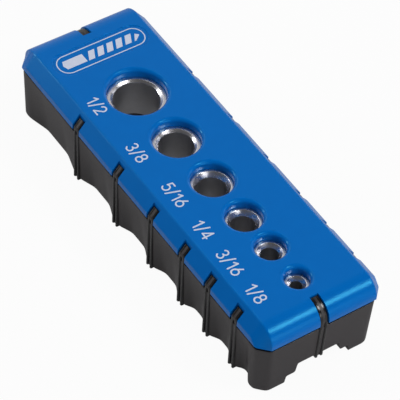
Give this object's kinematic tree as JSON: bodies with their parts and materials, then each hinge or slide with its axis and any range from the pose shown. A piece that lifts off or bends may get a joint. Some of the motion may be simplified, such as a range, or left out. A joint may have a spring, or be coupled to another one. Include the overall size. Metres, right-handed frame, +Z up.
{
  "type": "drill guide",
  "caption": "Hand-held drill guide block: moulded cover on a grooved base with scalloped sides and a row of steel guide bushings.",
  "frame": {"origin": "centre of the block's footprint, on the surface that the feet stand on", "axes": "+Z up through the bushings; +Y along the block, from the smallest bushing to the largest; +X across it"},
  "size_m": [0.038, 0.1174, 0.0239],
  "materials": {
    "blue_cover": "satin moulded plastic",
    "black_base": "fine-grained moulded plastic",
    "hardened_steel": "turned, hardened and polished",
    "zinc_screw": "zinc plated"
  },
  "bodies": {
    "root": {"top_cover": "blue_cover", "base_body": "black_base", "bushing_1_2": "hardened_steel", "bushing_3_8": "hardened_steel", "bushing_5_16": "hardened_steel", "bushing_1_4": "hardened_steel", "bushing_3_16": "hardened_steel", "bushing_1_8": "hardened_steel", "cover_screw_1": "zinc_screw", "cover_screw_2": "zinc_screw", "cover_screw_3": "zinc_screw", "cover_screw_4": "zinc_screw"}
  },
  "joints": []
}
